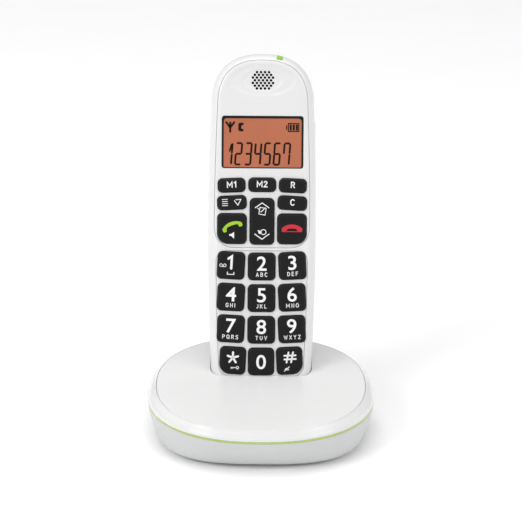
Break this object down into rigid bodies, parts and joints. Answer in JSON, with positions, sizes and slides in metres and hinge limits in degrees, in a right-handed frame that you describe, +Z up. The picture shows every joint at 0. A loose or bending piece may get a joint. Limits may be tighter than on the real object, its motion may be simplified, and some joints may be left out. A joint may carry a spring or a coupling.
{
  "type": "cordless phone with base",
  "caption": "Big-button cordless telephone handset that stands leaning back in the pocket of an oval charging base with a thin coloured band.",
  "frame": {"origin": "centre of the whole object's bounding box on the table plane; the base's middle stands in front of it because the handset leans back", "axes": "+Z up, -Y the side that the keys and display face, +X to the right as the user sees it"},
  "size_m": [0.1036, 0.1295, 0.1609],
  "materials": {
    "white_shell": "satin gloss white ABS",
    "casing_plastic": "satin light grey-white ABS",
    "green_trim": "satin light green",
    "indicator_lens": "clear green light guide",
    "key_plastic": "soft matt black keys with printed white legends",
    "display_glass": "clear window with a black printed border",
    "lcd_amber": "amber backlit display",
    "black_plastic": "matt black",
    "silicone_mat": "translucent silicone",
    "foot_rubber": "matt dark rubber",
    "circuit_board": "solder-masked circuit board",
    "steel": "plain steel",
    "gold_plate": "gold plated contact",
    "cell_case": "printed cell sleeve"
  },
  "bodies": {
    "base": {"base_lower_casing": "casing_plastic", "base_green_band": "green_trim", "base_upper_cover": "white_shell", "base_top_plate": "white_shell", "base_pcb": "circuit_board", "base_antennas": "gold_plate", "line_socket": "black_plastic", "power_socket": "black_plastic", "charge_barrels": "steel", "rubber_feet": "foot_rubber", "base_screws": "steel"},
    "handset": {"handset_front_cover": "white_shell", "handset_rear_cover": "white_shell", "upper_face_panel": "white_shell", "keypad_face_panel": "white_shell", "display_lens": "display_glass", "lcd_module": "lcd_amber", "earpiece_speaker": "black_plastic", "ringer_speaker": "black_plastic", "microphone": "steel", "main_pcb": "circuit_board", "keypad_mat": "silicone_mat", "batteries": "cell_case", "battery_contacts": "steel", "charge_plates": "gold_plate", "indicator_light": "indicator_lens", "handset_screws": "steel"},
    "charge_pin_left": {"charge_pin_left": "gold_plate"},
    "charge_pin_right": {"charge_pin_right": "gold_plate"},
    "page_button": {"page_button": "casing_plastic"},
    "battery_door": {"battery_door": "white_shell"},
    "volume_rocker": {"volume_rocker": "casing_plastic"},
    "nav_rocker": {"nav_rocker": "key_plastic"},
    "key_m1": {"key_m1": "key_plastic"},
    "key_m2": {"key_m2": "key_plastic"},
    "key_r": {"key_r": "key_plastic"},
    "key_menu": {"key_menu": "key_plastic"},
    "key_c": {"key_c": "key_plastic"},
    "key_talk": {"key_talk": "key_plastic"},
    "key_end": {"key_end": "key_plastic"},
    "key_1": {"key_1": "key_plastic"},
    "key_2": {"key_2": "key_plastic"},
    "key_3": {"key_3": "key_plastic"},
    "key_4": {"key_4": "key_plastic"},
    "key_5": {"key_5": "key_plastic"},
    "key_6": {"key_6": "key_plastic"},
    "key_7": {"key_7": "key_plastic"},
    "key_8": {"key_8": "key_plastic"},
    "key_9": {"key_9": "key_plastic"},
    "key_star": {"key_star": "key_plastic"},
    "key_0": {"key_0": "key_plastic"},
    "key_hash": {"key_hash": "key_plastic"}
  },
  "joints": [
    {"name": "handset_lift", "type": "slide", "parent": "base", "child": "handset", "axis": [0, 0.342, 0.9397], "range_m": [0, 0.06]},
    {"name": "charge_pin_left_press", "type": "slide", "parent": "base", "child": "charge_pin_left", "axis": [0, -0.342, -0.9397], "range_m": [0, 0.0006], "stiffness_N_per_m": 300, "springref_m": -0.0008},
    {"name": "charge_pin_right_press", "type": "slide", "parent": "base", "child": "charge_pin_right", "axis": [0, -0.342, -0.9397], "range_m": [0, 0.0006], "stiffness_N_per_m": 300, "springref_m": -0.0008},
    {"name": "page_button_press", "type": "slide", "parent": "base", "child": "page_button", "axis": [0, -1, 0], "range_m": [0, 0.0008], "stiffness_N_per_m": 600, "springref_m": -0.001},
    {"name": "battery_door_swing", "type": "hinge", "parent": "handset", "child": "battery_door", "pos_m": [0, 0.02016, 0.02987], "axis": [-1, 0, 0], "range_deg": [0, 70]},
    {"name": "volume_rocker_tilt", "type": "hinge", "parent": "handset", "child": "volume_rocker", "pos_m": [0.0226, 0.04423, 0.11955], "axis": [0, 0.9397, -0.342], "range_deg": [-2.5, 2.5], "stiffness_Nm_per_rad": 0.6},
    {"name": "nav_rocker_tilt", "type": "hinge", "parent": "handset", "child": "nav_rocker", "pos_m": [0, 0.01909, 0.08922], "axis": [1, 0, 0], "range_deg": [-3, 3], "stiffness_Nm_per_rad": 0.6},
    {"name": "key_m1_press", "type": "slide", "parent": "handset", "child": "key_m1", "axis": [0, 0.9397, -0.342], "range_m": [0, 0.0008], "stiffness_N_per_m": 600, "springref_m": -0.001},
    {"name": "key_m2_press", "type": "slide", "parent": "handset", "child": "key_m2", "axis": [0, 0.9397, -0.342], "range_m": [0, 0.0008], "stiffness_N_per_m": 600, "springref_m": -0.001},
    {"name": "key_r_press", "type": "slide", "parent": "handset", "child": "key_r", "axis": [0, 0.9397, -0.342], "range_m": [0, 0.0008], "stiffness_N_per_m": 600, "springref_m": -0.001},
    {"name": "key_menu_press", "type": "slide", "parent": "handset", "child": "key_menu", "axis": [0, 0.9397, -0.342], "range_m": [0, 0.0008], "stiffness_N_per_m": 600, "springref_m": -0.001},
    {"name": "key_c_press", "type": "slide", "parent": "handset", "child": "key_c", "axis": [0, 0.9397, -0.342], "range_m": [0, 0.0008], "stiffness_N_per_m": 600, "springref_m": -0.001},
    {"name": "key_talk_press", "type": "slide", "parent": "handset", "child": "key_talk", "axis": [0, 0.9397, -0.342], "range_m": [0, 0.0008], "stiffness_N_per_m": 600, "springref_m": -0.001},
    {"name": "key_end_press", "type": "slide", "parent": "handset", "child": "key_end", "axis": [0, 0.9397, -0.342], "range_m": [0, 0.0008], "stiffness_N_per_m": 600, "springref_m": -0.001},
    {"name": "key_1_press", "type": "slide", "parent": "handset", "child": "key_1", "axis": [0, 0.9397, -0.342], "range_m": [0, 0.0008], "stiffness_N_per_m": 600, "springref_m": -0.001},
    {"name": "key_2_press", "type": "slide", "parent": "handset", "child": "key_2", "axis": [0, 0.9397, -0.342], "range_m": [0, 0.0008], "stiffness_N_per_m": 600, "springref_m": -0.001},
    {"name": "key_3_press", "type": "slide", "parent": "handset", "child": "key_3", "axis": [0, 0.9397, -0.342], "range_m": [0, 0.0008], "stiffness_N_per_m": 600, "springref_m": -0.001},
    {"name": "key_4_press", "type": "slide", "parent": "handset", "child": "key_4", "axis": [0, 0.9397, -0.342], "range_m": [0, 0.0008], "stiffness_N_per_m": 600, "springref_m": -0.001},
    {"name": "key_5_press", "type": "slide", "parent": "handset", "child": "key_5", "axis": [0, 0.9397, -0.342], "range_m": [0, 0.0008], "stiffness_N_per_m": 600, "springref_m": -0.001},
    {"name": "key_6_press", "type": "slide", "parent": "handset", "child": "key_6", "axis": [0, 0.9397, -0.342], "range_m": [0, 0.0008], "stiffness_N_per_m": 600, "springref_m": -0.001},
    {"name": "key_7_press", "type": "slide", "parent": "handset", "child": "key_7", "axis": [0, 0.9397, -0.342], "range_m": [0, 0.0008], "stiffness_N_per_m": 600, "springref_m": -0.001},
    {"name": "key_8_press", "type": "slide", "parent": "handset", "child": "key_8", "axis": [0, 0.9397, -0.342], "range_m": [0, 0.0008], "stiffness_N_per_m": 600, "springref_m": -0.001},
    {"name": "key_9_press", "type": "slide", "parent": "handset", "child": "key_9", "axis": [0, 0.9397, -0.342], "range_m": [0, 0.0008], "stiffness_N_per_m": 600, "springref_m": -0.001},
    {"name": "key_star_press", "type": "slide", "parent": "handset", "child": "key_star", "axis": [0, 0.9397, -0.342], "range_m": [0, 0.0008], "stiffness_N_per_m": 600, "springref_m": -0.001},
    {"name": "key_0_press", "type": "slide", "parent": "handset", "child": "key_0", "axis": [0, 0.9397, -0.342], "range_m": [0, 0.0008], "stiffness_N_per_m": 600, "springref_m": -0.001},
    {"name": "key_hash_press", "type": "slide", "parent": "handset", "child": "key_hash", "axis": [0, 0.9397, -0.342], "range_m": [0, 0.0008], "stiffness_N_per_m": 600, "springref_m": -0.001}
  ]
}
